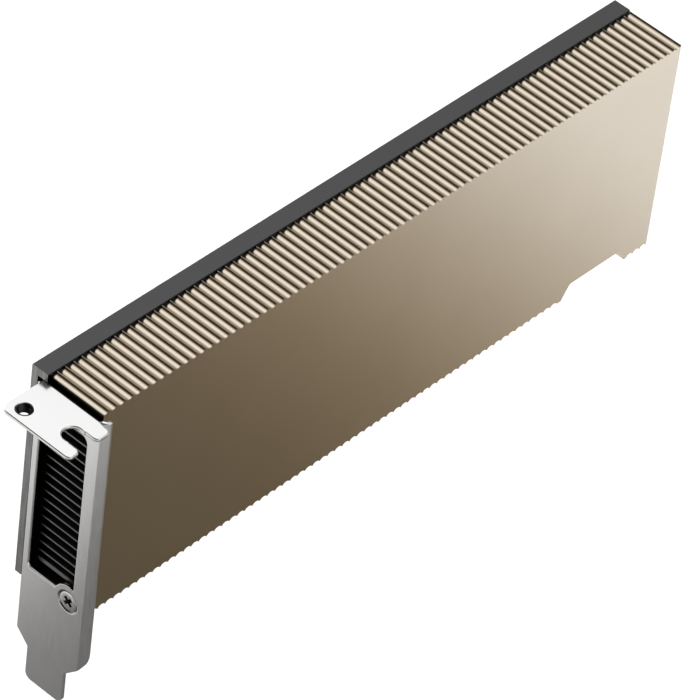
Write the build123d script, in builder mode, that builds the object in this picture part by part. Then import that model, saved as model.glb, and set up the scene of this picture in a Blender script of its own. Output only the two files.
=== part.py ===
from build123d import *
import os
from math import ceil, sqrt

os.makedirs("parts", exist_ok=True)

# Frame: +X from bracket to tail, -Y out of the cover face, +Z away from the slot.
# The origin is on the insertion edge, at the key notch, half way through the board.

# Whole card, millimetres
CARD_LENGTH = 166.75
CARD_TOP = 68.9
BODY_HEIGHT = 55.2
BODY_DEPTH = 18.25
BRACKET_TO_KEY = 59.05
BOARD = 1.57
SOLDER_SIDE = 2.67

X0 = -BRACKET_TO_KEY
TAIL = X0 + CARD_LENGTH
BODY_BOTTOM = CARD_TOP - BODY_HEIGHT
REAR = BOARD / 2 + SOLDER_SIDE
FACE = REAR - BODY_DEPTH
BACK_OF_BOARD = BOARD / 2
FRONT_OF_BOARD = -BOARD / 2

# Fits, and how far a cut runs past what it cuts
PAST = 1.0
REST_GAP = 0.05
SIDE_GAP = 0.25
SCREW_GAP = 0.15
OUTWARD = (Align.CENTER, Align.CENTER, Align.MIN)
INWARD = (Align.CENTER, Align.CENTER, Align.MAX)

# Bracket
SHEET = 0.86
BRACKET_HEIGHT = 79.2
BRACKET_TOP = 67.0
BRACKET_LEFT = REAR - 1.7
BRACKET_RIGHT = REAR - 20.0
ROLL = 1.6
TAB_LENGTH = 11.43
TAB_LEFT = REAR - 3.1
TAB_RIGHT = REAR - 21.6
TAB_BEND = 1.2
SLOT_WIDTH = 4.42
SLOT_X = X0 - 6.2
SLOT_Y = REAR - 17.37
BUSH_X = X0 - 8.3
BUSH_Y = REAR - 6.55
BUSH_D = 4.2
BUSH_HOLE = 3.0
BUSH_DEPTH = 2.2
WINDOW_LEFT = REAR - 3.3
WINDOW_RIGHT = REAR - 15.45
WINDOW_BOTTOM = BODY_BOTTOM + 3.65
WINDOW_TOP = BRACKET_TOP - 6.45
TONGUE_LEFT = REAR - 4.9
TONGUE_RIGHT = TONGUE_LEFT - 10.19
TONGUE_ROUND = 1.7
WINDOW_ROUND = 1.8
EDGE_BREAK = 0.2
TAB_ROUND = 2.0
FINGER_ROUND = 1.1
FINGER_LAP = 1.0
RETURN = 0.2
BRACKET_BOTTOM = BRACKET_TOP - BRACKET_HEIGHT
SHOULDER = 3.2
SHOULDER_Z = BRACKET_BOTTOM + 11.7
CURVE_IN = 0.45
CURVE_Z = SHOULDER_Z + 2.4
CURVE_TOP = SHOULDER_Z + 5.5
FIX_Y = REAR - 14.36
FIX_Z = BODY_BOTTOM + 2.55
UPPER_FIX_Z = BRACKET_TOP - 3.4
M2 = 2.0
M3 = 3.0
FIX_HEAD = 5.6
FIX_RING = 6.2
FIX_CONE = 1.5
FIX_REACH = 7.0
FIX_CLEAR = 3.9
CROSS_LENGTH = 3.4
CROSS_WIDTH = 0.75
CROSS_DEPTH = 0.7
UPPER_RING = 3.8
UPPER_HEAD = 3.5
UPPER_CONE = 0.8

# Cover
COVER_X0 = X0 + 1.0
COVER_TOP = CARD_TOP - 0.3
COVER_BOTTOM = BODY_BOTTOM + 0.2
COVER_REAR = FRONT_OF_BOARD - REST_GAP
COVER_WALL = 1.2
RAIL = 3.0
PITCH = 2.1638
FLUTES = ceil((TAIL - COVER_X0) / PITCH)
LAND = 0.08
SCOOP = 0.62
SCOOP_R = ((PITCH - LAND) ** 2 / 4 + SCOOP**2) / (2 * SCOOP)
NOTCH_NEAR = TAIL - 27.0
NOTCH_FAR = TAIL - 7.1
NOTCH_RUN = 2.3
NOTCH_DEPTH = 3.5
NOTCH_WALL = 1.4
NOTCH_FIRST = int((TAIL - NOTCH_FAR) / PITCH)
NOTCH_LAST = ceil((TAIL - NOTCH_NEAR) / PITCH)
LUG_LENGTH = 8.0
LUG_HOLE = 7.0
LUG_BOTTOM = COVER_BOTTOM + 5.0
LUG_TOP = COVER_TOP - 6.6
BOSS_LENGTH = 7.6
BOSS_WIDTH = 5.6
BOSS_Z = FIX_Z + 2.3
COVER_INNER = FACE + COVER_WALL
INNER_BOTTOM = COVER_BOTTOM + RAIL
INNER_TOP = COVER_TOP - RAIL

# Fins
FIN_PITCH = 2.295
FIN = 0.4
LOW_FIN = 1.0
LOW_FIN_Z = COVER_BOTTOM + 5.8
FIN_COUNT = int((LUG_TOP - FIN / 2 - LOW_FIN_Z) / FIN_PITCH)
FIN_INSET = 1.5
FIN_X0 = X0 + FIN_INSET
FIN_X1 = TAIL - FIN_INSET
FIN_REAR = FRONT_OF_BOARD - SCREW_GAP
FIN_STEP = 4.0
TAIL_FIN_REAR = FRONT_OF_BOARD - 6.8

# Heat path
DIE_X = X0 + 68.0
DIE_Z = (COVER_BOTTOM + COVER_TOP) / 2
PACKAGE_T = 1.5
PACKAGE = (29.0, 29.0, PACKAGE_T)
DIE = (14.0, 14.4)
DIE_T = 0.8
PASTE = 0.1
SPREADER = 32.0
SPREADER_T = 1.6
SPREADER_CORNER = 1.5
BASE_T = 1.8
BASE_X0 = X0 + 17.0
BASE_X1 = TAIL - 45.0
BASE_Y = FRONT_OF_BOARD - PACKAGE_T - DIE_T - PASTE - SPREADER_T
BASE_Z0 = LUG_BOTTOM + SCREW_GAP
BASE_Z1 = LUG_TOP - SCREW_GAP
POST_D = 5.6
POST_DX = 21.0
POST_DZ = BODY_HEIGHT / 2 - 11.1

POSTS = [(DIE_X + dx, DIE_Z + dz) for dx in (-POST_DX, POST_DX) for dz in (-POST_DZ, POST_DZ)]
DIE_Y = FRONT_OF_BOARD - PACKAGE_T - DIE_T
CERAMIC_DX = 17.2

# Memory and power parts
MEMORY_T = 1.1
MEMORY_SIZE = (12.0, 14.0, MEMORY_T)
PAD_SIZE = (11.0, 13.0)
MEMORY_DX = 34.0
MEMORY_DZ = 9.0
MEMORY = [(DIE_X + dx, DIE_Z + dz) for dx in (-MEMORY_DX, MEMORY_DX) for dz in (-MEMORY_DZ, MEMORY_DZ)]
PHASE_COUNT = 5
PHASE_PITCH = (LUG_TOP - LUG_BOTTOM) / PHASE_COUNT
PHASES = [DIE_Z + (i - (PHASE_COUNT - 1) / 2) * PHASE_PITCH for i in range(PHASE_COUNT)]
INDUCTOR = (7.0, 7.0, 5.0)
INDUCTOR_CORNER = 0.5
INDUCTOR_X = TAIL - 34.5
STAGE = (5.0, 5.0, 0.9)
STAGE_X = TAIL - 26.5
POLYMER = (4.3, 7.3, 2.8)
POLYMER_X = (TAIL - 20.0, TAIL - 14.0)
CERAMIC = (2.0, 1.2, 0.8)
CERAMIC_PITCH = 2.4
CERAMIC_COUNT = 10
CONTROLLER = (7.0, 7.0, 0.9)
CONTROLLER_X = TAIL - 7.8
FIRMWARE = (5.3, 5.3, 1.8)
CRYSTAL = (3.2, 2.5, 0.8)
CLOCK_X = X0 + 23.0
FIRMWARE_Z = DIE_Z - 11.5
CRYSTAL_Z = DIE_Z - 1.5
REAR_CERAMIC = (1.6, 0.8, 0.7)
REAR_GRID = (-6, -2, 2, 6)

# Board outline
BOARD_X0 = FIN_X0
BOARD_X1 = TAIL - 0.2
BOARD_TOP = CARD_TOP - 2.05
BOARD_BOTTOM = 12.15
KEY = 1.9
SHORT_TONGUE = 11.65
LONG_TONGUE = 71.65
TONGUE_X0 = -KEY / 2 - SHORT_TONGUE
TONGUE_X1 = KEY / 2 + LONG_TONGUE
KEY_DEPTH = 7.4
LEAD = 0.8
EDGE_BEVEL = 0.45
BEVEL_HEIGHT = 1.6
HOOK_X = TONGUE_X1 + 3.9
HOOK_Z = 3.2
HOOK_W = 3.2
HOOK_REACH = 1.4
HOOK_FOOT = 2.0
HOOK_LEAD = 1.0
HOOK_NECK = 10.7
CONTACT_W = 0.7
CONTACT_T = 0.04
CONTACT_H = 3.6
CONTACT_Z = 1.9
CONTACT_PITCH = 1.0
SHORT_ROW = 11
LONG_ROW = 71

# Rear plate
PLATE_T = REAR - BRACKET_LEFT - REST_GAP
STRIP_T = 1.85
STRIP_DEPTH = 4.2
FILM_T = 0.2
FILM_INSET = 3.0
SMALL_RING = 4.2
SMALL_HEAD = 3.8
SCREW_X = (X0 + 12.5, X0 + 98.0, TAIL - 4.6)
SCREW_Z = (COVER_BOTTOM + 2.5, COVER_TOP - 3.6)
SCREWS = [(x, z) for x in SCREW_X for z in SCREW_Z]
SCREW_REACH = 9.5
SMALL_CONE = 1.0
BOSS_D = 5.0
PLATE_INNER = REAR - PLATE_T
STRIP_BEVEL = 0.1
FILM_Z0 = SCREW_Z[0] + BOSS_D / 2 + SIDE_GAP
FILM_Z1 = SCREW_Z[1] - BOSS_D / 2 - SIDE_GAP
POST_OPENING = 6.4
PAN_D = 4.4
PAN_T = 1.3
PAN_REACH = 5.0


def around(middle, size):
    return middle - size / 2, middle + size / 2


def block(x0, x1, y0, y1, z0, z1, mode=Mode.ADD):
    with Locations(((x0 + x1) / 2, (y0 + y1) / 2, (z0 + z1) / 2)):
        Box(x1 - x0, abs(y1 - y0), z1 - z0, mode=mode)


def countersink(ring, shank, depth, through):
    Cone(ring / 2, shank / 2, depth, align=OUTWARD, mode=Mode.SUBTRACT)
    Cylinder(shank / 2, 2 * through, mode=Mode.SUBTRACT)


def flat_screw(ring, head, shank, depth, reach):
    drop = depth * (ring - head) / (ring - shank)
    with Locations((0, 0, drop)):
        Cone(head / 2, shank / 2, depth - drop, align=OUTWARD)
        Cylinder(shank / 2 - REST_GAP, reach - drop, align=OUTWARD)


def mounted(x, z, size):
    width, height, thick = size
    block(*around(x, width), FRONT_OF_BOARD - thick, FRONT_OF_BOARD, *around(z, height))


def scoop_reach(x, centre):
    return sqrt(SCOOP_R**2 - (x - centre) ** 2) - (SCOOP_R - SCOOP)


def scoop(i, edge, inward):
    right = TAIL - i * PITCH - LAND / 2
    left = max(right - PITCH + LAND, COVER_X0)
    crown = (left + right) / 2
    centre = TAIL - (i + 0.5) * PITCH
    return [(x, edge + inward * scoop_reach(x, centre)) for x in (left, crown, right)]


# Cover
with BuildPart() as heatsink_cover:
    with BuildSketch(Plane.XZ.offset(-COVER_REAR)):
        with BuildLine():
            last = (TAIL, COVER_TOP)
            for i in range(FLUTES):
                left, crown, right = scoop(i, COVER_TOP, -1)
                Line(last, right)
                ThreePointArc(right, crown, left)
                last = left
            for i in reversed(range(FLUTES)):
                if NOTCH_FIRST <= i < NOTCH_LAST:
                    continue
                if i == NOTCH_FIRST - 1:
                    Polyline(
                        last,
                        (NOTCH_NEAR, COVER_BOTTOM),
                        (NOTCH_NEAR + NOTCH_RUN, COVER_BOTTOM + NOTCH_DEPTH),
                        (NOTCH_FAR - NOTCH_RUN, COVER_BOTTOM + NOTCH_DEPTH),
                        (NOTCH_FAR, COVER_BOTTOM),
                    )
                    last = (NOTCH_FAR, COVER_BOTTOM)
                left, crown, right = scoop(i, COVER_BOTTOM, 1)
                Line(last, left)
                ThreePointArc(left, crown, right)
                last = right
            Polyline(last, (TAIL, COVER_BOTTOM), (TAIL, COVER_TOP))
        make_face()
    extrude(amount=COVER_REAR - FACE)
    with BuildSketch(Plane.XZ.offset(-COVER_REAR)):
        with BuildLine():
            Polyline(
                (COVER_X0 - PAST, INNER_TOP),
                (COVER_X0 - PAST, INNER_BOTTOM),
                (NOTCH_NEAR - NOTCH_WALL, INNER_BOTTOM),
                (NOTCH_NEAR + NOTCH_WALL / 2, LUG_BOTTOM),
                (NOTCH_FAR - NOTCH_WALL / 2, LUG_BOTTOM),
                (NOTCH_FAR + NOTCH_WALL, INNER_BOTTOM),
                (TAIL + PAST, INNER_BOTTOM),
                (TAIL + PAST, INNER_TOP),
                close=True,
            )
        make_face()
        for x in SCREW_X:
            near = max(x - LUG_LENGTH / 2, COVER_X0)
            far = min(x + LUG_LENGTH / 2, TAIL)
            with Locations(((near + far) / 2, (LUG_TOP + COVER_TOP) / 2)):
                Rectangle(far - near, COVER_TOP - LUG_TOP, mode=Mode.SUBTRACT)
            with Locations(((near + far) / 2, (LUG_BOTTOM + COVER_BOTTOM) / 2)):
                Rectangle(far - near, LUG_BOTTOM - COVER_BOTTOM, mode=Mode.SUBTRACT)
    extrude(amount=COVER_REAR - COVER_INNER, mode=Mode.SUBTRACT)
    boss_x1 = COVER_X0 + BOSS_LENGTH
    boss_y1 = FIX_Y + BOSS_WIDTH / 2
    block(COVER_X0, boss_x1, COVER_INNER, boss_y1, INNER_BOTTOM, BOSS_Z)
    block(COVER_X0, boss_x1, COVER_INNER, boss_y1, LUG_TOP, INNER_TOP)
    with Locations([Location((x, COVER_REAR, z), (90, 0, 0)) for x, z in SCREWS]):
        Cylinder(M2 / 2, 2 * LUG_HOLE, mode=Mode.SUBTRACT)
    with Locations(Location((X0, FIX_Y, FIX_Z), (0, 90, 0))):
        countersink(FIX_RING, M3, FIX_CONE, FIX_REACH + PAST)
    with Locations(Location((X0, FIX_Y, UPPER_FIX_Z), (0, 90, 0))):
        Cylinder(M2 / 2, 2 * (FIX_REACH + PAST), mode=Mode.SUBTRACT)
heatsink_cover.part.label = "heatsink_cover"
export_step(heatsink_cover.part, "parts/heatsink_cover.step")


# Fins: level plates, deep behind the bracket and shorter over the tail components
with BuildPart() as fin_stack:
    for i in range(FIN_COUNT + 1):
        thick = FIN if i else LOW_FIN
        with BuildSketch(Plane.XY.offset(LOW_FIN_Z + i * FIN_PITCH)):
            with BuildLine():
                Polyline(
                    (FIN_X0, COVER_INNER),
                    (FIN_X0, FIN_REAR),
                    (BASE_X0 - REST_GAP, FIN_REAR),
                    (BASE_X0 - REST_GAP, BASE_Y - BASE_T),
                    (BASE_X1, BASE_Y - BASE_T),
                    (BASE_X1 + FIN_STEP, TAIL_FIN_REAR),
                    (FIN_X1, TAIL_FIN_REAR),
                    (FIN_X1, COVER_INNER),
                    close=True,
                )
            make_face()
        extrude(amount=thick / 2, both=True)
fin_stack.part.label = "fin_stack"
export_step(fin_stack.part, "parts/fin_stack.step")

# Base of the heat sink, standing on four posts round the chip
with BuildPart() as heatsink_base:
    block(BASE_X0, BASE_X1, BASE_Y - BASE_T, BASE_Y, BASE_Z0, BASE_Z1)
    with Locations([Location((x, (BASE_Y + FRONT_OF_BOARD) / 2, z), (90, 0, 0)) for x, z in POSTS]):
        Cylinder(POST_D / 2, FRONT_OF_BOARD - BASE_Y)
    with Locations([Location((x, BASE_Y, z), (90, 0, 0)) for x, z in POSTS]):
        Cylinder(M2 / 2, 2 * (FRONT_OF_BOARD - BASE_Y), mode=Mode.SUBTRACT)
heatsink_base.part.label = "heatsink_base"
export_step(heatsink_base.part, "parts/heatsink_base.step")

# Chip, from the board outward
with BuildPart() as gpu_substrate:
    mounted(DIE_X, DIE_Z, PACKAGE)
gpu_substrate.part.label = "gpu_substrate"
export_step(gpu_substrate.part, "parts/gpu_substrate.step")

with BuildPart() as gpu_die:
    block(*around(DIE_X, DIE[0]), DIE_Y, DIE_Y + DIE_T, *around(DIE_Z, DIE[1]))
gpu_die.part.label = "gpu_die"
export_step(gpu_die.part, "parts/gpu_die.step")

with BuildPart() as thermal_paste:
    block(*around(DIE_X, DIE[0]), DIE_Y - PASTE, DIE_Y, *around(DIE_Z, DIE[1]))
thermal_paste.part.label = "thermal_paste"
export_step(thermal_paste.part, "parts/thermal_paste.step")

with BuildPart() as copper_spreader:
    block(*around(DIE_X, SPREADER), BASE_Y, BASE_Y + SPREADER_T, *around(DIE_Z, SPREADER))
    chamfer(copper_spreader.edges().filter_by(Axis.Y), SPREADER_CORNER)
copper_spreader.part.label = "copper_spreader"
export_step(copper_spreader.part, "parts/copper_spreader.step")

# Memory on both sides of the chip, with pads up to the base
with BuildPart() as memory_chips:
    for x, z in MEMORY:
        mounted(x, z, MEMORY_SIZE)
memory_chips.part.label = "memory_chips"
export_step(memory_chips.part, "parts/memory_chips.step")

with BuildPart() as memory_pads:
    for x, z in MEMORY:
        block(*around(x, PAD_SIZE[0]), BASE_Y, FRONT_OF_BOARD - MEMORY_T, *around(z, PAD_SIZE[1]))
memory_pads.part.label = "memory_pads"
export_step(memory_pads.part, "parts/memory_pads.step")

# Power stage near the tail
with BuildPart() as power_inductors:
    for z in PHASES:
        mounted(INDUCTOR_X, z, INDUCTOR)
    chamfer(power_inductors.edges().filter_by(Axis.Y), INDUCTOR_CORNER)
power_inductors.part.label = "power_inductors"
export_step(power_inductors.part, "parts/power_inductors.step")

with BuildPart() as power_stages:
    for z in PHASES:
        mounted(STAGE_X, z, STAGE)
power_stages.part.label = "power_stages"
export_step(power_stages.part, "parts/power_stages.step")

with BuildPart() as polymer_capacitors:
    for x in POLYMER_X:
        for z in PHASES:
            mounted(x, z, POLYMER)
polymer_capacitors.part.label = "polymer_capacitors"
export_step(polymer_capacitors.part, "parts/polymer_capacitors.step")

with BuildPart() as ceramic_capacitors:
    for dx in (-CERAMIC_DX, CERAMIC_DX):
        for i in range(CERAMIC_COUNT):
            mounted(DIE_X + dx, DIE_Z + (i - (CERAMIC_COUNT - 1) / 2) * CERAMIC_PITCH, CERAMIC)
ceramic_capacitors.part.label = "ceramic_capacitors"
export_step(ceramic_capacitors.part, "parts/ceramic_capacitors.step")

with BuildPart() as voltage_controller:
    mounted(CONTROLLER_X, DIE_Z, CONTROLLER)
voltage_controller.part.label = "voltage_controller"
export_step(voltage_controller.part, "parts/voltage_controller.step")

with BuildPart() as firmware_chip:
    mounted(CLOCK_X, FIRMWARE_Z, FIRMWARE)
firmware_chip.part.label = "firmware_chip"
export_step(firmware_chip.part, "parts/firmware_chip.step")

with BuildPart() as clock_crystal:
    mounted(CLOCK_X, CRYSTAL_Z, CRYSTAL)
clock_crystal.part.label = "clock_crystal"
export_step(clock_crystal.part, "parts/clock_crystal.step")

with BuildPart() as rear_capacitors:
    width, height, thick = REAR_CERAMIC
    for dx in REAR_GRID:
        for dz in REAR_GRID:
            with Locations((DIE_X + dx, BACK_OF_BOARD + thick / 2, DIE_Z + dz)):
                Box(width, thick, height)
rear_capacitors.part.label = "rear_capacitors"
export_step(rear_capacitors.part, "parts/rear_capacitors.step")

# Board with its edge tongue, key notch and retention hook
with BuildPart() as circuit_board:
    with BuildSketch(Plane.XZ.offset(-BACK_OF_BOARD)):
        with BuildLine():
            Polyline(
                (BOARD_X0, BOARD_TOP),
                (BOARD_X0, BOARD_BOTTOM),
                (TONGUE_X0, BOARD_BOTTOM),
                (TONGUE_X0, LEAD),
                (TONGUE_X0 + LEAD, 0),
                (TONGUE_X1 - LEAD, 0),
                (TONGUE_X1, LEAD),
                (TONGUE_X1, HOOK_NECK),
                (HOOK_X, HOOK_NECK),
                (HOOK_X, HOOK_Z + HOOK_FOOT),
                (HOOK_X - HOOK_REACH, HOOK_Z + HOOK_FOOT),
                (HOOK_X - HOOK_REACH, HOOK_Z + HOOK_LEAD),
                (HOOK_X - HOOK_REACH + HOOK_LEAD, HOOK_Z),
                (HOOK_X + HOOK_W, HOOK_Z),
                (HOOK_X + HOOK_W, BOARD_BOTTOM),
                (BOARD_X1, BOARD_BOTTOM),
                (BOARD_X1, BOARD_TOP),
                close=True,
            )
        make_face()
        with Locations((0, KEY_DEPTH / 2 - KEY)):
            SlotOverall(KEY_DEPTH + 2 * KEY, KEY, rotation=90, mode=Mode.SUBTRACT)
        with Locations(POSTS):
            Circle(M2 / 2 + SCREW_GAP, mode=Mode.SUBTRACT)
        with Locations(SCREWS):
            Circle(M2 / 2 + SCREW_GAP, mode=Mode.SUBTRACT)
    extrude(amount=BOARD)
    for side in (-1, 1):
        with BuildSketch(Plane.YZ.offset(TONGUE_X0 - PAST)):
            with BuildLine():
                Polyline(
                    (side * BOARD / 2, BEVEL_HEIGHT),
                    (side * (BOARD / 2 - EDGE_BEVEL), 0),
                    (side * (BOARD / 2 - EDGE_BEVEL), -PAST),
                    (side * (BOARD / 2 + PAST), -PAST),
                    (side * (BOARD / 2 + PAST), BEVEL_HEIGHT),
                    close=True,
                )
            make_face()
        extrude(amount=TONGUE_X1 - TONGUE_X0 + 2 * PAST, mode=Mode.SUBTRACT)
circuit_board.part.label = "circuit_board"
export_step(circuit_board.part, "parts/circuit_board.step")

# Gold contacts, one row on each face of the tongue
for name, y in (("front", FRONT_OF_BOARD - CONTACT_T / 2), ("back", BACK_OF_BOARD + CONTACT_T / 2)):
    with BuildPart() as contacts:
        with Locations((TONGUE_X0 + SHORT_TONGUE / 2, y, CONTACT_Z + CONTACT_H / 2)):
            with GridLocations(CONTACT_PITCH, 0, SHORT_ROW, 1):
                Box(CONTACT_W, CONTACT_T, CONTACT_H)
        with Locations((TONGUE_X1 - LONG_TONGUE / 2, y, CONTACT_Z + CONTACT_H / 2)):
            with GridLocations(CONTACT_PITCH, 0, LONG_ROW, 1):
                Box(CONTACT_W, CONTACT_T, CONTACT_H)
    contacts.part.label = f"edge_contacts_{name}"
    export_step(contacts.part, f"parts/edge_contacts_{name}.step")

# Rear plate, hooked over the top of the board
with BuildPart() as backplate:
    with BuildSketch(Plane.YZ.offset(X0)):
        with BuildLine():
            Polyline(
                (REAR, BODY_BOTTOM),
                (REAR, CARD_TOP),
                (REAR - STRIP_DEPTH, CARD_TOP),
                (REAR - STRIP_DEPTH, CARD_TOP - STRIP_T),
                (PLATE_INNER, CARD_TOP - STRIP_T),
                (PLATE_INNER, BODY_BOTTOM),
                close=True,
            )
        outline = make_face()
        chamfer(outline.vertices().sort_by(Axis.Y)[-2:], STRIP_BEVEL)
    extrude(amount=CARD_LENGTH)
    with Locations([Location((x, (PLATE_INNER + BACK_OF_BOARD) / 2, z), (90, 0, 0)) for x, z in SCREWS]):
        Cylinder(BOSS_D / 2, PLATE_INNER - BACK_OF_BOARD)
    with Locations([Location((x, REAR, z), (90, 0, 0)) for x, z in SCREWS]):
        countersink(SMALL_RING, M2, SMALL_CONE, SOLDER_SIDE + PAST)
    with Locations([Location((x, REAR, z), (90, 0, 0)) for x, z in POSTS]):
        Cylinder(POST_OPENING / 2, 3 * PLATE_T, mode=Mode.SUBTRACT)
backplate.part.label = "backplate"
export_step(backplate.part, "parts/backplate.step")

with BuildPart() as insulating_film:
    with BuildSketch(Plane.XZ.offset(-PLATE_INNER)):
        with Locations(((X0 + TAIL) / 2, (FILM_Z0 + FILM_Z1) / 2)):
            Rectangle(CARD_LENGTH - 2 * FILM_INSET, FILM_Z1 - FILM_Z0)
        with Locations(POSTS):
            Circle(POST_OPENING / 2, mode=Mode.SUBTRACT)
    extrude(amount=FILM_T)
insulating_film.part.label = "insulating_film"
export_step(insulating_film.part, "parts/insulating_film.step")

# Countersunk screws from the rear plate into the lugs of the cover
with BuildPart() as cover_screws:
    with Locations([Location((x, REAR, z), (90, 0, 0)) for x, z in SCREWS]):
        flat_screw(SMALL_RING, SMALL_HEAD, M2, SMALL_CONE, SCREW_REACH)
cover_screws.part.label = "cover_screws"
export_step(cover_screws.part, "parts/cover_screws.step")

# Pan screws that pull the heat sink down on the chip
with BuildPart() as gpu_screws:
    with Locations([Location((x, BACK_OF_BOARD, z), (90, 0, 0)) for x, z in POSTS]):
        Cylinder(M2 / 2 - REST_GAP, PAN_REACH, align=OUTWARD)
        Cylinder(PAN_D / 2, PAN_T, align=INWARD)
gpu_screws.part.label = "gpu_screws"
export_step(gpu_screws.part, "parts/gpu_screws.step")

# Bracket: rolled side, folded tab, window and tongue
with BuildPart() as bracket:
    with BuildSketch(Plane.XY.offset(BRACKET_BOTTOM)):
        roll_x = X0 + ROLL
        roll_y = BRACKET_RIGHT + ROLL
        inner = ROLL - SHEET
        with BuildLine():
            Line((X0, BRACKET_LEFT), (X0, roll_y))
            CenterArc((roll_x, roll_y), ROLL, 180, 90)
            Polyline(
                (roll_x, BRACKET_RIGHT),
                (roll_x + RETURN, BRACKET_RIGHT),
                (roll_x + RETURN, BRACKET_RIGHT + SHEET),
                (roll_x, BRACKET_RIGHT + SHEET),
            )
            CenterArc((roll_x, roll_y), inner, 270, -90)
            Polyline((X0 + SHEET, roll_y), (X0 + SHEET, BRACKET_LEFT), (X0, BRACKET_LEFT))
        make_face()
    extrude(amount=BRACKET_HEIGHT)
    with BuildSketch(Plane.YZ.offset(X0 - PAST)) as front:
        with BuildLine():
            Polyline(
                (BRACKET_RIGHT, BRACKET_TOP),
                (BRACKET_LEFT, BRACKET_TOP),
                (BRACKET_LEFT, SHOULDER_Z),
                (TONGUE_LEFT, SHOULDER_Z - SHOULDER),
                (TONGUE_LEFT, BRACKET_BOTTOM),
                (TONGUE_RIGHT, BRACKET_BOTTOM),
                (TONGUE_RIGHT, SHOULDER_Z - SHOULDER),
                (roll_y, SHOULDER_Z - SHOULDER + TONGUE_RIGHT - roll_y),
            )
            ThreePointArc(
                (roll_y, SHOULDER_Z - SHOULDER + TONGUE_RIGHT - roll_y),
                (BRACKET_RIGHT + CURVE_IN, CURVE_Z),
                (BRACKET_RIGHT, CURVE_TOP),
            )
            Line((BRACKET_RIGHT, CURVE_TOP), (BRACKET_RIGHT, BRACKET_TOP))
        make_face()
        fillet(front.vertices().group_by(Axis.Y)[0], TONGUE_ROUND)
    extrude(amount=ROLL + RETURN + 2 * PAST, mode=Mode.INTERSECT)
    with BuildSketch(Plane.YZ.offset(X0 - PAST)) as window:
        with Locations(((WINDOW_LEFT + WINDOW_RIGHT) / 2, (WINDOW_BOTTOM + WINDOW_TOP) / 2)):
            Rectangle(WINDOW_LEFT - WINDOW_RIGHT, WINDOW_TOP - WINDOW_BOTTOM)
        fillet(window.vertices().group_by(Axis.Y)[-1], WINDOW_ROUND)
        fillet(window.vertices().group_by(Axis.Y)[0].sort_by(Axis.X)[-1], WINDOW_ROUND / 2)
        with Locations((FIX_Y, FIX_Z)):
            Circle(FIX_CLEAR, mode=Mode.SUBTRACT)
    extrude(amount=SHEET + 2 * PAST, mode=Mode.SUBTRACT)
    outside = bracket.faces().filter_by(Axis.X).group_by(Axis.X)[0].sort_by(SortBy.AREA)[-1]
    chamfer(outside.inner_wires()[0].edges(), EDGE_BREAK)
    bend_x = X0 + SHEET - TAB_BEND
    bend_z = BRACKET_TOP - TAB_BEND
    bend_past = X0 + SHEET + REST_GAP
    block(X0 - PAST, bend_past, roll_y, BRACKET_LEFT + PAST, bend_z, BRACKET_TOP + PAST, Mode.SUBTRACT)
    with BuildSketch(Plane.XZ.offset(-TAB_LEFT)):
        with BuildLine():
            CenterArc((bend_x, bend_z), TAB_BEND, 0, 90)
            Polyline(
                (bend_x, BRACKET_TOP),
                (X0 - TAB_LENGTH, BRACKET_TOP),
                (X0 - TAB_LENGTH, BRACKET_TOP - SHEET),
                (bend_x, BRACKET_TOP - SHEET),
            )
            CenterArc((bend_x, bend_z), TAB_BEND - SHEET, 90, -90)
            Line((X0, bend_z), (X0 + SHEET, bend_z))
        make_face()
    extrude(amount=TAB_LEFT - roll_y)
    with BuildSketch(Plane.XY.offset(BRACKET_TOP - SHEET)) as fingers:
        with BuildLine():
            Polyline(
                (X0 - TAB_LENGTH, roll_y + FINGER_LAP),
                (X0 - TAB_LENGTH, TAB_RIGHT),
                (bend_x, TAB_RIGHT),
                (bend_x, roll_y + FINGER_LAP),
                close=True,
            )
        make_face()
        with Locations((SLOT_X, SLOT_Y - SLOT_WIDTH)):
            SlotOverall(3 * SLOT_WIDTH, SLOT_WIDTH, rotation=90, mode=Mode.SUBTRACT)
        fillet(fingers.vertices().group_by(Axis.Y)[0], FINGER_ROUND)
    extrude(amount=SHEET)
    with Locations((SLOT_X, SLOT_Y, BRACKET_TOP)):
        Cylinder(SLOT_WIDTH / 2, 3 * SHEET, mode=Mode.SUBTRACT)
    with Locations((BUSH_X, BUSH_Y, BRACKET_TOP)):
        Cylinder(BUSH_D / 2, 3 * SHEET, mode=Mode.SUBTRACT)
    fillet(bracket.edges().filter_by(Axis.Z).group_by(Axis.X)[0].sort_by(Axis.Y)[-1], TAB_ROUND)
    fillet(bracket.edges().filter_by(Axis.X).group_by(Axis.Y)[-1].sort_by(Axis.Z)[-1], FINGER_ROUND / 2)
    with Locations(Location((X0, FIX_Y, FIX_Z), (0, 90, 0))):
        countersink(FIX_RING, M3, FIX_CONE, 2 * SHEET)
    with Locations(Location((X0, FIX_Y, UPPER_FIX_Z), (0, 90, 0))):
        countersink(UPPER_RING, M2, UPPER_CONE, 2 * SHEET)
bracket.part.label = "bracket"
export_step(bracket.part, "parts/bracket.step")

with BuildPart() as bracket_screw:
    with Locations(Location((X0, FIX_Y, FIX_Z), (0, 90, 0))):
        flat_screw(FIX_RING, FIX_HEAD, M3, FIX_CONE, FIX_REACH)
        Box(CROSS_LENGTH, CROSS_WIDTH, 2 * CROSS_DEPTH, mode=Mode.SUBTRACT)
        Box(CROSS_WIDTH, CROSS_LENGTH, 2 * CROSS_DEPTH, mode=Mode.SUBTRACT)
bracket_screw.part.label = "bracket_screw"
export_step(bracket_screw.part, "parts/bracket_screw.step")

with BuildPart() as bracket_upper_screw:
    with Locations(Location((X0, FIX_Y, UPPER_FIX_Z), (0, 90, 0))):
        flat_screw(UPPER_RING, UPPER_HEAD, M2, UPPER_CONE, FIX_REACH)
bracket_upper_screw.part.label = "bracket_upper_screw"
export_step(bracket_upper_screw.part, "parts/bracket_upper_screw.step")

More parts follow.
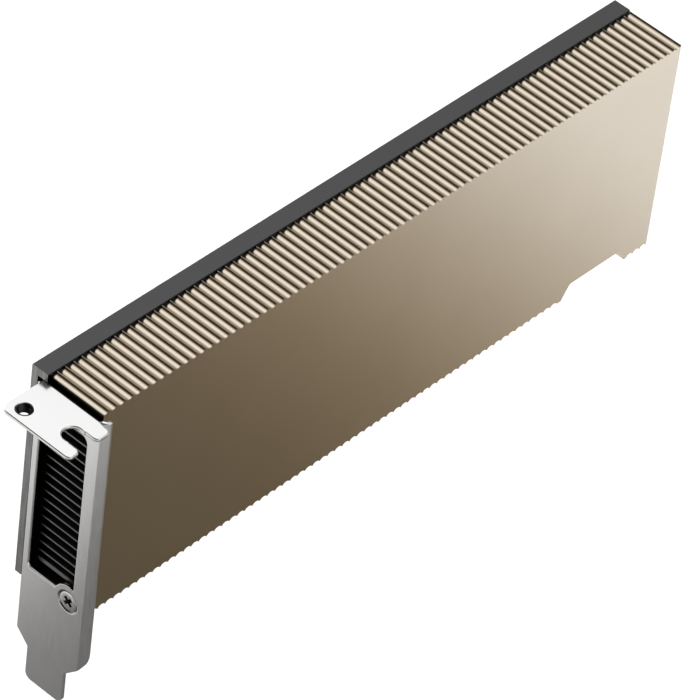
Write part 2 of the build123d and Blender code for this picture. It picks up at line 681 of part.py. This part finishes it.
# Threaded bush pressed up into the tab
with BuildPart() as tab_bush:
    with Locations((BUSH_X, BUSH_Y, BRACKET_TOP)):
        Cylinder(BUSH_D / 2, BUSH_DEPTH, align=INWARD)
        Cylinder(BUSH_HOLE / 2, 3 * BUSH_DEPTH, mode=Mode.SUBTRACT)
tab_bush.part.label = "tab_bush"
export_step(tab_bush.part, "parts/tab_bush.step")
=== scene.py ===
import bmesh
import bpy
from math import cos, inf, pi, radians, sin
from mathutils import Matrix, Vector


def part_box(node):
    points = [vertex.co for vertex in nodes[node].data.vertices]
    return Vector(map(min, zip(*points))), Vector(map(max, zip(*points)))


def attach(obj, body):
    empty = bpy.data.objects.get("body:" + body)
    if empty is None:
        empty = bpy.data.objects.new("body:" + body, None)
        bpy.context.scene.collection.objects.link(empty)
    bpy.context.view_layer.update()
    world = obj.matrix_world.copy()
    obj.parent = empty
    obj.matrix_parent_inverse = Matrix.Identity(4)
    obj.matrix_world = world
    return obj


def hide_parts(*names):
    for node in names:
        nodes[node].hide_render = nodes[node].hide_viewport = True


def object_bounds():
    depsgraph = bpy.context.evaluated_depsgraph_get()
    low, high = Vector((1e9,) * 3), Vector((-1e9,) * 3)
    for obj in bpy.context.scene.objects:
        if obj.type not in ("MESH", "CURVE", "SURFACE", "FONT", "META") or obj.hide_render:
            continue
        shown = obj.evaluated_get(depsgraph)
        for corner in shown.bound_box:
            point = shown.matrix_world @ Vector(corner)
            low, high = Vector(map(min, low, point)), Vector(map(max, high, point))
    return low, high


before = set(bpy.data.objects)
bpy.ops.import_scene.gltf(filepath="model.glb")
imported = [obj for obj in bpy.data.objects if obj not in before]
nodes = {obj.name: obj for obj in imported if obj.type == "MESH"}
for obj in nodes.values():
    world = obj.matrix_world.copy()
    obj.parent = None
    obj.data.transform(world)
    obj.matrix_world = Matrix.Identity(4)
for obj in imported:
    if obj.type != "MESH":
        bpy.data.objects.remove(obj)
cad_low, cad_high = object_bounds()
scene = bpy.context.scene
MM = 0.001

# Camera, at the photograph's place
CAMERA_AT = Vector((-0.65865, -0.54305, 0.8277))
CAMERA_RIGHT = Vector((0.6836, -0.7232, 0.0981))
CAMERA_UP = Vector((0.4451, 0.5196, 0.7293))
CAMERA_BACK = CAMERA_RIGHT.cross(CAMERA_UP)
LENS = 303.0
SENSOR = 36.0
CLIP_NEAR = 0.01
CLIP_FAR = 50.0

# Studio: the floor lies well below the part, and over it low cards that only reflections see, each
# with an area of an X range and a Y range
FLOOR_Z = cad_low.z - 0.25
FLOOR_REACH = 6.0
FLOOR_WHITE = (0.93, 0.93, 0.93)
FLOOR_ROUGH = 0.9
CARD_Z = -0.16
FACE_AREA = ((0.06, 0.5), (-0.5, 0.0))
FRONT_AREA = ((-0.6, 0.06), (-0.5, 0.3))
SIDE_AREA = ((-0.6, -0.243), (0.1, 0.4))
SIDE_LIFT = 0.002
FOOT = Vector((-0.058, -0.016, CARD_Z))
SUN_TOWARDS = (-0.3, -0.4, 0.85)
SUN_STRENGTH = 1.7
SUN_SPREAD = 40.0

# Light from each direction by its X: dark from beyond the bracket, brightest from overhead and dim
# from beyond the tail. It has its full level from the rear, and a lower one from the front.
SKY = [
    (-1.0, (0.035, 0.02, 0.008)),
    (-0.78, (0.05, 0.029, 0.01)),
    (-0.64, (0.09, 0.063, 0.035)),
    (-0.52, (0.26, 0.235, 0.205)),
    (-0.4, (0.7, 0.685, 0.665)),
    (-0.25, (1.28, 1.275, 1.27)),
    (0.0, (1.84, 1.87, 1.9)),
    (0.16, (2.02, 2.08, 2.13)),
    (0.32, (1.74, 1.77, 1.81)),
    (0.6, (1.2, 1.2, 1.21)),
    (0.74, (0.92, 0.92, 0.92)),
    (0.84, (0.4, 0.39, 0.375)),
    (0.92, (0.15, 0.14, 0.12)),
    (1.0, (0.08, 0.07, 0.055)),
]
SKY_FRONT = 0.58
SKY_RISE = (0.1, 0.4)

# Light of the card that the gold face mirrors, along X
FACE_CARD = [
    (0.06, (0.19, 0.165, 0.12)),
    (0.1, (0.205, 0.18, 0.135)),
    (0.145, (0.255, 0.22, 0.165)),
    (0.185, (0.4, 0.345, 0.27)),
    (0.225, (0.7, 0.66, 0.6)),
    (0.265, (1.18, 1.2, 1.22)),
    (0.292, (1.47, 1.56, 1.72)),
    (0.34, (1.62, 1.73, 1.92)),
]

# Light of the card that the bracket's front mirrors, along Y
FRONT_CARD = [
    (0.06, (0.18, 0.178, 0.175)),
    (0.098, (0.26, 0.257, 0.254)),
    (0.107, (0.28, 0.277, 0.274)),
    (0.114, (0.42, 0.416, 0.412)),
    (0.13, (0.62, 0.615, 0.61)),
    (0.15, (0.84, 0.835, 0.83)),
]
# The same card outward from the foot: the brighter of the two counts
ROUND_CARD = [
    (0.18, (0.18, 0.178, 0.175)),
    (0.207, (0.22, 0.218, 0.215)),
    (0.228, (0.38, 0.377, 0.374)),
    (0.241, (0.47, 0.467, 0.463)),
    (0.28, (0.76, 0.755, 0.75)),
]

# Light of the card that the bracket's rounded edges and bends mirror, along X
SIDE_CARD = [(-0.264, (1.35, 1.35, 1.35)), (-0.243, (0.75, 0.745, 0.74))]

# Stretch of a noise: the same along X, Y and Z, or drawn out along Z or X like brush marks
EVEN = (1.0, 1.0, 1.0)
BRUSHED_UP = (1.0, 1.0, 0.06)
SAWN_UP = (1.0, 1.0, 0.05)
BRUSHED_ALONG = (0.05, 1.0, 1.0)


def add_camera():
    data = bpy.data.cameras.new("camera")
    data.lens = LENS
    data.sensor_width = SENSOR
    data.clip_start = CLIP_NEAR
    data.clip_end = CLIP_FAR
    camera = bpy.data.objects.new("camera", data)
    turn = Matrix((CAMERA_RIGHT, CAMERA_UP, CAMERA_BACK)).transposed().to_4x4()
    camera.matrix_world = Matrix.Translation(CAMERA_AT) @ turn
    scene.collection.objects.link(camera)
    scene.camera = camera


class Look:
    """A material or a world, with short calls that add and link its shader nodes."""

    def __init__(self, owner):
        owner.use_nodes = True
        self.owner = owner
        self.tree = owner.node_tree
        self.shader = self.tree.nodes.get("Principled BSDF")

    def add(self, kind, **values):
        """A new node. Each value goes to the input of that name, where an underscore stands for a
        space, or else to the node's own setting."""
        node = self.tree.nodes.new(kind)
        for key, value in values.items():
            name = key.replace("_", " ")
            if name in node.inputs:
                node.inputs[name].default_value = value
            else:
                setattr(node, key, value)
        return node

    def link(self, a, b):
        self.tree.links.new(a, b)

    def place(self, output="Object"):
        return self.add("ShaderNodeTexCoord").outputs[output]

    def axis(self, source, axis):
        split = self.add("ShaderNodeSeparateXYZ")
        self.link(source, split.inputs["Vector"])
        return split.outputs[axis]

    def stretched(self, scale):
        mapping = self.add("ShaderNodeMapping", Scale=scale)
        self.link(self.place(), mapping.inputs["Vector"])
        return mapping.outputs["Vector"]

    def noise(self, scale, detail, stretch=EVEN):
        noise = self.add("ShaderNodeTexNoise", Scale=scale, Detail=detail)
        self.link(self.stretched(stretch), noise.inputs["Vector"])
        return noise.outputs["Fac"]

    def math(self, operation, a, b):
        node = self.add("ShaderNodeMath", operation=operation)
        for socket, value in zip(node.inputs, (a, b)):
            if isinstance(value, (int, float)):
                socket.default_value = value
            else:
                self.link(value, socket)
        return node.outputs["Value"]

    def mix(self, fac, a, b, blend="MIX"):
        node = self.add("ShaderNodeMixRGB", blend_type=blend)
        for socket, value in zip(node.inputs, (fac, a, b)):
            if isinstance(value, (int, float)):
                socket.default_value = value
            elif isinstance(value, tuple):
                socket.default_value = (*value, 1.0)
            else:
                self.link(value, socket)
        return node.outputs["Color"]

    def spread(self, source, low, high, start, end):
        """Runs from low to high as the source runs from start to end."""
        node = self.add("ShaderNodeMapRange", From_Min=start, From_Max=end, To_Min=low, To_Max=high)
        self.link(source, node.inputs["Value"])
        return node.outputs["Result"]

    def graded(self, source, stops):
        """The colour between the stops, each given as a place and its colour."""
        low, high = stops[0][0], stops[-1][0]
        ramp = self.add("ShaderNodeValToRGB")
        elements = ramp.color_ramp.elements
        while len(elements) < len(stops):
            elements.new(0.5)
        for element, (position, colour) in zip(elements, stops):
            element.position = (position - low) / (high - low)
            element.color = (*colour, 1.0)
        self.link(self.spread(source, 0.0, 1.0, low, high), ramp.inputs["Fac"])
        return ramp.outputs["Color"]

    def shade(self, amount):
        """Multiplies the base colour by an amount between nothing and one."""
        socket = self.shader.inputs["Base Color"]
        self.link(self.mix(1.0, socket.links[0].from_socket, amount, "MULTIPLY"), socket)

    def bump(self, source, strength, distance):
        node = self.add("ShaderNodeBump", Strength=strength, Distance=distance)
        self.link(source, node.inputs["Height"])
        self.link(node.outputs["Normal"], self.shader.inputs["Normal"])

    def set(self, name, value):
        """Sets an input of the shader to a number or a colour, or links it."""
        socket = self.shader.inputs[name]
        if isinstance(value, float):
            socket.default_value = value
        elif isinstance(value, tuple):
            socket.default_value = (*value, 1.0)
        else:
            self.link(value, socket)


def toned(colour, amount):
    return tuple(min(1.0, level * amount) for level in colour)


# Noise runs mostly between the two levels of its range, and the wide drift has spots of about 20 mm
NOISE_RANGE = (0.3, 0.7)
DRIFT_SCALE = 45.0
ROUGH_RANGE = (0.8, 1.2)
GRAIN_STRENGTH = 0.3


def material(name, colour, rough, metal=1.0, grain=2500.0, stretch=EVEN, depth=0.004, vary=0.05):
    """Colour that drifts a little, fine grain in the gloss and in the surface, depth in mm."""
    look = Look(bpy.data.materials.new(name))
    look.set("Metallic", metal)
    fine = look.noise(grain, 5.0, stretch)
    wide = look.noise(DRIFT_SCALE, 3.0)
    low, high = NOISE_RANGE
    tones = [(low, toned(colour, 1.0 - vary)), (high, toned(colour, 1.0 + vary))]
    look.set("Base Color", look.graded(wide, tones))
    smoothest, roughest = ROUGH_RANGE
    look.set("Roughness", look.spread(fine, rough * smoothest, rough * roughest, low, high))
    look.bump(fine, GRAIN_STRENGTH, depth * MM)
    return look


def dress(name, look):
    """Gives a CAD node one look all over."""
    mesh = nodes[name].data
    for i in range(len(mesh.materials)):
        mesh.materials[i] = look.owner
    if not mesh.materials:
        mesh.materials.append(look.owner)


GOLD = (0.48, 0.42, 0.34)
GOLD_TINT = (0.8, 0.72, 0.6)
STEEL = (0.7, 0.697, 0.685)
DARK = (0.068, 0.068, 0.069)

cover_gold = material("cover_gold", GOLD, 0.2, grain=6000.0, depth=0.002, vary=0.02)
cover_gold.set("Specular Tint", GOLD_TINT)
bracket_steel = material(
    "bracket_steel", STEEL, 0.2, grain=3000.0, stretch=BRUSHED_UP, depth=0.002, vary=0.02
)
# Painted shade: a darker steel for the countersink's cone, standing in for the dark reflection there
countersink_painted_shade = material("countersink_painted_shade", (0.3, 0.3, 0.295), 0.3, grain=4000.0)
screw_steel = material("screw_steel", (0.6, 0.595, 0.58), 0.22, grain=4000.0)
black_steel = material("black_steel", (0.035, 0.035, 0.036), 0.3, grain=4000.0)
# Painted shade: the fins' aluminium is given a dark grey, for the shade inside the cover
fins_in_painted_shade = material("fins_in_painted_shade", (0.15, 0.15, 0.152), 0.4, stretch=BRUSHED_ALONG)
base_metal = material("base_metal", (0.66, 0.66, 0.66), 0.35, stretch=BRUSHED_ALONG)
copper = material("copper", (0.75, 0.42, 0.3), 0.3)
contact_gold = material("contact_gold", (0.85, 0.62, 0.25), 0.2, grain=5000.0)
substrate_green = material("substrate_green", (0.02, 0.07, 0.04), 0.4, metal=0.0)
silicon = material("silicon", (0.06, 0.07, 0.09), 0.12, metal=0.0)
paste_grey = material("paste_grey", (0.5, 0.5, 0.5), 0.6, metal=0.0)
pad_grey = material("pad_grey", (0.45, 0.5, 0.56), 0.8, metal=0.0)
chip_black = material("chip_black", (0.02, 0.02, 0.021), 0.5, metal=0.0)
ferrite = material("ferrite", (0.08, 0.08, 0.08), 0.6, metal=0.0)
capacitor_black = material("capacitor_black", (0.04, 0.04, 0.045), 0.3, metal=0.0)
ceramic = material("ceramic", (0.36, 0.25, 0.15), 0.5, metal=0.0)
crystal_can = material("crystal_can", (0.66, 0.65, 0.62), 0.25)
# Painted shade: near-black for the screws' cross recesses and the bands under their heads, where shade
# falls
screw_painted_shade = material("screw_painted_shade", (0.03, 0.03, 0.03), 0.4, grain=4000.0)
film_black = material("film_black", (0.015, 0.015, 0.015), 0.25, metal=0.0)


# Bare ends of the rear plate, and the range of the normal's X over which a face counts as an end
SAWN = [(0.35, (0.17, 0.17, 0.17)), (0.65, (0.25, 0.25, 0.246))]
SAW_SCALE = 2500.0
END_TURNED = (0.85, 0.95)

# Board: its tracks, its cut edges, and the range of the normal's Y over which a face counts as one
BOARD_GRAIN = 1500.0
BOARD_DEPTH = 0.01
MASK = (0.008, 0.009, 0.009)
TRACK = (0.012, 0.02, 0.017)
TRACK_SHARE = 0.5
TRACKS = {"Scale": 420.0, "Mortar_Size": 0.16, "Row_Height": 0.35, "Brick_Width": 2.6}
LAMINATE = (0.02, 0.018, 0.014)
EDGE_TURNED = (0.3, 0.6)

# The least light on a shaded place, and the range over which full light comes back
COVER_END_LIGHT = 0.05
COVER_END_X = (-0.985, -0.95)
FIN_FOOT_LIGHT = 0.04
FIN_FOOT_Y = (-0.0032, -0.0012)
PLATE_INSIDE_LIGHT = 0.03
PLATE_INSIDE_Y = (-0.97, -0.8)
BOARD_END_LIGHT = 0.05
BOARD_END_X = (-0.054, -0.05)


def shade_ends():
    """Deep shade where no light reaches: the cover's ends towards the bracket, and the fins' feet."""
    turned = cover_gold.axis(cover_gold.place("Normal"), "X")
    cover_gold.shade(cover_gold.spread(turned, COVER_END_LIGHT, 1.0, *COVER_END_X))
    depth = fins_in_painted_shade.axis(fins_in_painted_shade.place(), "Y")
    fins_in_painted_shade.shade(fins_in_painted_shade.spread(depth, 1.0, FIN_FOOT_LIGHT, *FIN_FOOT_Y))


def plate_material():
    """Dark anodised skin, bare on the two sawn ends and in deep shade towards the board."""
    look = material("plate_grey", DARK, 0.32, grain=4000.0, depth=0.003, vary=0.04)
    skin = look.shader.inputs["Base Color"].links[0].from_socket
    bare = look.graded(look.noise(SAW_SCALE, 4.0, SAWN_UP), SAWN)
    endways = look.math("ABSOLUTE", look.axis(look.place("Normal"), "X"), 0.0)
    look.set("Base Color", look.mix(look.spread(endways, 0.0, 1.0, *END_TURNED), skin, bare))
    inward = look.axis(look.place("Normal"), "Y")
    look.shade(look.spread(inward, PLATE_INSIDE_LIGHT, 1.0, *PLATE_INSIDE_Y))
    return look


def board_material():
    """Black solder mask over faint tracks, with the laminate at the cut edges, and an end in shade."""
    look = material("board_black", MASK, 0.3, metal=0.0, grain=BOARD_GRAIN)
    skin = look.shader.inputs["Base Color"].links[0].from_socket
    tracks = look.add("ShaderNodeTexBrick", **TRACKS)
    upright = look.add("ShaderNodeMapping", Rotation=(radians(90), 0.0, 0.0))
    look.link(look.place(), upright.inputs["Vector"])
    look.link(upright.outputs["Vector"], tracks.inputs["Vector"])
    line = look.math("MULTIPLY", tracks.outputs["Fac"], TRACK_SHARE)
    masked = look.mix(line, skin, TRACK)
    sideways = look.math("ABSOLUTE", look.axis(look.place("Normal"), "Y"), 0.0)
    cut = look.spread(sideways, 1.0, 0.0, *EDGE_TURNED)
    look.set("Base Color", look.mix(cut, masked, LAMINATE))
    height = look.math("ADD", line, look.noise(BOARD_GRAIN, 5.0))
    look.bump(height, GRAIN_STRENGTH, BOARD_DEPTH * MM)
    along = look.axis(look.place(), "X")
    look.set("Specular IOR Level", look.spread(along, 0.0, 0.5, *BOARD_END_X))
    look.shade(look.spread(along, BOARD_END_LIGHT, 1.0, *BOARD_END_X))
    return look


shade_ends()
LOOKS = {
    "heatsink_cover": cover_gold,
    "backplate": plate_material(),
    "bracket": bracket_steel,
    "bracket_screw": screw_steel,
    "bracket_upper_screw": screw_steel,
    "tab_bush": black_steel,
    "cover_screws": black_steel,
    "gpu_screws": screw_steel,
    "fin_stack": fins_in_painted_shade,
    "heatsink_base": base_metal,
    "copper_spreader": copper,
    "thermal_paste": paste_grey,
    "gpu_die": silicon,
    "gpu_substrate": substrate_green,
    "memory_chips": chip_black,
    "memory_pads": pad_grey,
    "power_inductors": ferrite,
    "power_stages": chip_black,
    "polymer_capacitors": capacitor_black,
    "ceramic_capacitors": ceramic,
    "rear_capacitors": ceramic,
    "voltage_controller": chip_black,
    "firmware_chip": chip_black,
    "clock_crystal": crystal_can,
    "circuit_board": board_material(),
    "edge_contacts_front": contact_gold,
    "edge_contacts_back": contact_gold,
    "insulating_film": film_black,
}
for node_name, node_look in LOOKS.items():
    dress(node_name, node_look)


def least(node, axis):
    """The lowest place that a CAD node reaches along an axis, in mm to the nearest micron."""
    return round(getattr(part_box(node)[0], axis) / MM, 3)


def most(node, axis):
    """The highest place that a CAD node reaches along an axis, in mm to the nearest micron."""
    return round(getattr(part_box(node)[1], axis) / MM, 3)


def middle(node, axis):
    return (least(node, axis) + most(node, axis)) / 2


# Places in mm: the fasteners sit where the nodes that they replace do, in the faces that hold them.
# The bracket's face is level with the rear plate's end. The low screw's node has a head FIX_HEAD
# wide, and its piece sits FIX_DROP lower.
FIX_HEAD = 5.6
FIX_DROP = 0.38
BRACKET_X = least("backplate", "x")
REAR_Y = most("backplate", "y")
BOARD_Y = most("circuit_board", "y")
FIX_Y = middle("bracket_screw", "y")
FIX_Z = least("bracket_screw", "z") + FIX_HEAD / 2
UPPER_Z = middle("bracket_upper_screw", "z")
BUSH_AT = Vector((middle("tab_bush", "x"), middle("tab_bush", "y"), most("tab_bush", "z")))
DIE_X = middle("gpu_die", "x")
DIE_Z = middle("gpu_die", "z")
CHIP_SCREW_DX = 21.0
CHIP_SCREW_DZ = 16.5
COVER_SCREW_X = (-46.55, 38.95, 103.1)
COVER_SCREW_Z = (16.4, 65.0)

# Profiles: each ring's height over the surface and its radius, in mm. The bands after the third
# and the fourth ring are painted dark as shade.
FIX_PROFILE = [(-0.16, 2.05), (-0.19, 2.2), (-0.3, 2.28), (-1.3, 1.46), (-7.0, 1.44)]
UPPER_PROFILE = [(-0.1, 1.5), (-0.12, 1.64), (-0.2, 1.72), (-0.78, 0.96), (-7.0, 0.94)]
COVER_PROFILE = [(-0.18, 1.66), (-0.2, 1.8), (-0.26, 1.86), (-0.98, 0.97), (-9.5, 0.94)]
PAN_PROFILE = [
    (1.3, 1.25), (1.24, 1.6), (1.05, 1.92), (0.75, 2.12),
    (0.4, 2.2), (0.0, 2.2), (0.0, 0.94), (-5.0, 0.94),
]
PAINTED_SHADE_BANDS = (2, 3)
BUSH_MOUTH = [(-0.02, 1.58), (-0.12, 1.73), (-2.2, 1.73), (-2.2, 1.5)]
THREAD_TURNS = 6
THREAD_PITCH = 0.3
THREAD_INNER = 1.2
THREAD_OUTER = 1.38

# Cross recesses: length, width and depth in mm, and turn in degrees
FIX_CROSS = (2.5, 0.85, 1.1, 45)
UPPER_CROSS = (2.1, 0.55, 0.7, 20)
COVER_CROSS = (2.2, 0.6, 0.8, 30)
PAN_CROSS = (2.3, 0.6, 0.9, 10)
CROSS_TAPER = 0.55

OUT_FRONT = Matrix.Rotation(radians(-90), 4, "Y")
OUT_REAR = Matrix.Rotation(radians(-90), 4, "X")
RING_SIDES = 48

# Rounded edges: the width in mm, and the least angle in degrees that is rounded. The tab has its
# own above a height.
HEAD_EASE = (0.03, 45)
SHEET_EASE = (0.12, 40)
TAB_EASE = (0.2, 60)
TAB_ABOVE = 66.05

# Vertices nearer than the weld are one, in mm. Faces that meet within the flat angle are joined,
# and shading breaks at a crease, in degrees.
WELD = 0.012
FLAT_ANGLE = 0.5
CREASE = 38

# Rims of the bracket's two holes: how far they reach along and from the axis, in mm, and the scale
# by which they are drawn in
RIM_DEPTH = 2.5
FIX_RIM = 3.3
FIX_RIM_SCALE = 0.87
BUSH_RIM = 2.3
BUSH_RIM_SCALE = 0.83

# Round the low screw, in mm from its axis: the arc to be lowered, which lies above a height, and
# the cone, whose normals have a smaller X than the flat face's, and which is painted darker as shade
ARC_NEAR = 3.7
ARC_FAR = 4.3
ARC_ABOVE = 17.4
CONE_REACH = 2.68
CONE_TURNED = 0.97


def piece(name, bm, look, *replaced):
    """A mesh piece of the object that stands for the nodes it replaces."""
    bmesh.ops.recalc_face_normals(bm, faces=bm.faces)
    for face in bm.faces:
        face.smooth = True
    mesh = bpy.data.meshes.new(name)
    bm.to_mesh(mesh)
    bm.free()
    mesh.materials.append(look.owner)
    item = bpy.data.objects.new(name, mesh)
    scene.collection.objects.link(item)
    mesh.set_sharp_from_angle(angle=radians(CREASE))
    item.modifiers.new("even", "WEIGHTED_NORMAL").keep_sharp = True
    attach(item, "root")
    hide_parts(*replaced)
    return item


def eased(bm, ease, above=-inf):
    """Rounds by the ease's width every edge above a height that is sharper than the ease's angle."""
    width, angle = ease
    sharp = [
        edge for edge in bm.edges
        if len(edge.link_faces) == 2 and edge.calc_face_angle() > radians(angle)
        and min(vert.co.z for vert in edge.verts) > above
    ]
    bmesh.ops.bevel(
        bm, geom=sharp, offset=width * MM, segments=2, profile=0.5, affect="EDGES", clamp_overlap=False
    )


def draw_in(bm, centre, along, reach, scale, shift):
    """Draws the rim of a hole in towards its axis, and shifts it."""
    for vert in bm.verts:
        away = vert.co - centre
        level = away.dot(along) * along
        if level.length < RIM_DEPTH * MM and (away - level).length < reach:
            vert.co = centre + level + (away - level) * scale + shift


def lower_arc(bm, centre, drop):
    """Lowers the arc that the window leaves round the screw."""
    for vert in bm.verts:
        away = vert.co - centre
        away.x = 0.0
        if ARC_NEAR * MM < away.length < ARC_FAR * MM and vert.co.z > ARC_ABOVE * MM:
            vert.co.z -= drop


def make_bracket():
    """The bracket with its edges rounded by a hair and its rims drawn in to the photograph's size."""
    bm = bmesh.new()
    bm.from_mesh(nodes["bracket"].data)
    bmesh.ops.remove_doubles(bm, verts=bm.verts, dist=WELD * MM)
    bmesh.ops.dissolve_limit(bm, angle_limit=radians(FLAT_ANGLE), verts=bm.verts, edges=bm.edges)
    centre = Vector((BRACKET_X, FIX_Y, FIX_Z)) * MM
    drop = Vector((0.0, 0.0, -FIX_DROP * MM))
    draw_in(bm, centre, Vector((1.0, 0.0, 0.0)), FIX_RIM * MM, FIX_RIM_SCALE, drop)
    lower_arc(bm, centre, FIX_DROP * MM)
    draw_in(bm, BUSH_AT * MM, Vector((0.0, 0.0, 1.0)), BUSH_RIM * MM, BUSH_RIM_SCALE, Vector())
    eased(bm, TAB_EASE, TAB_ABOVE * MM)
    eased(bm, SHEET_EASE)
    box_low, box_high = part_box("bracket")
    for vert in bm.verts:
        vert.co = [min(max(c, a), b) for c, a, b in zip(vert.co, box_low, box_high)]
    # The countersink's cone takes the second material, a darker steel that is painted shade
    cone = centre + drop
    for face in bm.faces:
        away = face.calc_center_median() - cone
        away.x = 0.0
        if away.length < CONE_REACH * MM and abs(face.normal.x) < CONE_TURNED:
            face.material_index = 1
    piece("bracket_form", bm, bracket_steel, "bracket").data.materials.append(countersink_painted_shade.owner)


def ring(bm, place, z, radius):
    turns = [2 * pi * i / RING_SIDES for i in range(RING_SIDES)]
    points = [Vector((radius * cos(turn), radius * sin(turn), z)) for turn in turns]
    return [bm.verts.new(place @ (point * MM)) for point in points]


def band(bm, rings, dark=()):
    """Faces between each ring and the next, in the second material, a painted shade, for the bands named
    dark.
    """
    for level, (a, b) in enumerate(zip(rings, rings[1:])):
        for i in range(len(a)):
            j = (i + 1) % len(a)
            bm.faces.new((a[i], a[j], b[j], b[i])).material_index = int(level in dark)


def cross_outline(bm, place, z, length, width, turn):
    """The twelve corners of a cross."""
    a, b = length / 2, width / 2
    quarter = [(a, -b), (a, b), (b, b)]
    points = []
    for step in range(4):
        spin = Matrix.Rotation(radians(90 * step + turn), 3, "Z")
        points += [spin @ Vector((x, y, z)) for x, y in quarter]
    return [bm.verts.new(place @ (point * MM)) for point in points]


def add_screw(bm, place, profile, cross):
    """A turned screw, with a tapered cross sunk in its head, whose walls and floor take a painted shade.
    """
    rings = [ring(bm, place, z, radius) for z, radius in profile]
    band(bm, rings, PAINTED_SHADE_BANDS)
    bm.faces.new(rings[-1])
    length, width, depth, turn = cross
    top = profile[0][0]
    mouth = cross_outline(bm, place, top, length, width, turn)
    foot = cross_outline(bm, place, top - depth, CROSS_TAPER * length, CROSS_TAPER * width, turn)
    band(bm, [mouth, foot], dark=(0,))
    bm.faces.new(foot).material_index = 1
    rims = [bm.edges.get((loop[i - 1], loop[i])) for loop in (rings[0], mouth) for i in range(len(loop))]
    bmesh.ops.triangle_fill(bm, edges=rims, use_beauty=True)


def make_screws(name, node, look, places, profile, cross):
    """One piece for all the screws of a node."""
    bm = bmesh.new()
    for place in places:
        add_screw(bm, place, profile, cross)
    eased(bm, HEAD_EASE)
    piece(name, bm, look, node).data.materials.append(screw_painted_shade.owner)


def make_bush():
    """The pressed bush: funnel mouth over a threaded bore."""
    place = Matrix.Translation(BUSH_AT * MM)
    bm = bmesh.new()
    thread = []
    for turn in range(THREAD_TURNS):
        z = BUSH_MOUTH[-1][0] + (turn + 0.5) * THREAD_PITCH
        thread += [(z, THREAD_INNER), (z + THREAD_PITCH / 2, THREAD_OUTER)]
    rings = [ring(bm, place, z, radius) for z, radius in BUSH_MOUTH + thread]
    band(bm, rings + rings[:1])
    piece("bush_form", bm, black_steel, "tab_bush")


def at(x, y, z, turned):
    return Matrix.Translation(Vector((x, y, z)) * MM) @ turned


low_places = [at(BRACKET_X, FIX_Y, FIX_Z - FIX_DROP, OUT_FRONT)]
high_places = [at(BRACKET_X, FIX_Y, UPPER_Z, OUT_FRONT)]
plate_places = [at(x, REAR_Y, z, OUT_REAR) for x in COVER_SCREW_X for z in COVER_SCREW_Z]
chip_places = [
    at(DIE_X + dx, BOARD_Y, DIE_Z + dz, OUT_REAR)
    for dx in (-CHIP_SCREW_DX, CHIP_SCREW_DX) for dz in (-CHIP_SCREW_DZ, CHIP_SCREW_DZ)
]

make_bracket()
make_bush()
make_screws("low_screw", "bracket_screw", screw_steel, low_places, FIX_PROFILE, FIX_CROSS)
make_screws("high_screw", "bracket_upper_screw", screw_steel, high_places, UPPER_PROFILE, UPPER_CROSS)
make_screws("plate_screws", "cover_screws", black_steel, plate_places, COVER_PROFILE, COVER_CROSS)
make_screws("chip_screws", "gpu_screws", screw_steel, chip_places, PAN_PROFILE, PAN_CROSS)


def rectangle(name, x_range, y_range, z, look):
    (near, far), (front, back) = x_range, y_range
    mesh = bpy.data.meshes.new(name)
    outline = [(near, front, z), (far, front, z), (far, back, z), (near, back, z)]
    mesh.from_pydata(outline, [], [(0, 1, 2, 3)])
    mesh.materials.append(look.owner)
    item = bpy.data.objects.new(name, mesh)
    scene.collection.objects.link(item)
    return item


def add_floor():
    look = Look(bpy.data.materials.new("floor_paint"))
    look.set("Base Color", FLOOR_WHITE)
    look.set("Roughness", FLOOR_ROUGH)
    reach = (-FLOOR_REACH, FLOOR_REACH)
    floor = rectangle("floor", reach, reach, FLOOR_Z, look)


def add_world():
    scene.world = bpy.data.worlds.new("studio")
    look = Look(scene.world)
    towards = look.place("Generated")
    sky = look.graded(look.axis(towards, "X"), SKY)
    level = look.spread(look.axis(towards, "Y"), SKY_FRONT, 1.0, *SKY_RISE)
    look.link(look.mix(1.0, sky, level, "MULTIPLY"), look.tree.nodes["Background"].inputs["Color"])


def add_card(name, area, z=CARD_Z):
    """A low studio card that only reflections see."""
    look = Look(bpy.data.materials.new(name))
    look.tree.nodes.remove(look.shader)
    emission = look.add("ShaderNodeEmission")
    look.link(emission.outputs["Emission"], look.tree.nodes["Material Output"].inputs["Surface"])
    item = rectangle(name, *area, z, look)
    item.visible_camera = False
    item.visible_diffuse = False
    item.visible_shadow = False
    return look, emission.inputs["Color"]


def add_cards():
    look, colour = add_card("face_card", FACE_AREA)
    look.link(look.graded(look.axis(look.place(), "X"), FACE_CARD), colour)
    look, colour = add_card("front_card", FRONT_AREA)
    along = look.graded(look.axis(look.place(), "Y"), FRONT_CARD)
    apart = look.add("ShaderNodeVectorMath", operation="DISTANCE")
    apart.inputs[1].default_value = FOOT
    look.link(look.place(), apart.inputs[0])
    outward = look.graded(apart.outputs["Value"], ROUND_CARD)
    look.link(look.mix(1.0, along, outward, "LIGHTEN"), colour)
    look, colour = add_card("side_card", SIDE_AREA, CARD_Z + SIDE_LIFT)
    look.link(look.graded(look.axis(look.place(), "X"), SIDE_CARD), colour)


def add_sun():
    data = bpy.data.lights.new("fill", "SUN")
    data.energy = SUN_STRENGTH
    data.angle = radians(SUN_SPREAD)
    item = bpy.data.objects.new("fill", data)
    item.rotation_euler = Vector(SUN_TOWARDS).to_track_quat("Z", "Y").to_euler()
    item.visible_glossy = False
    scene.collection.objects.link(item)


scene.view_settings.view_transform = "Standard"
add_camera()
add_floor()
add_world()
add_cards()
add_sun()
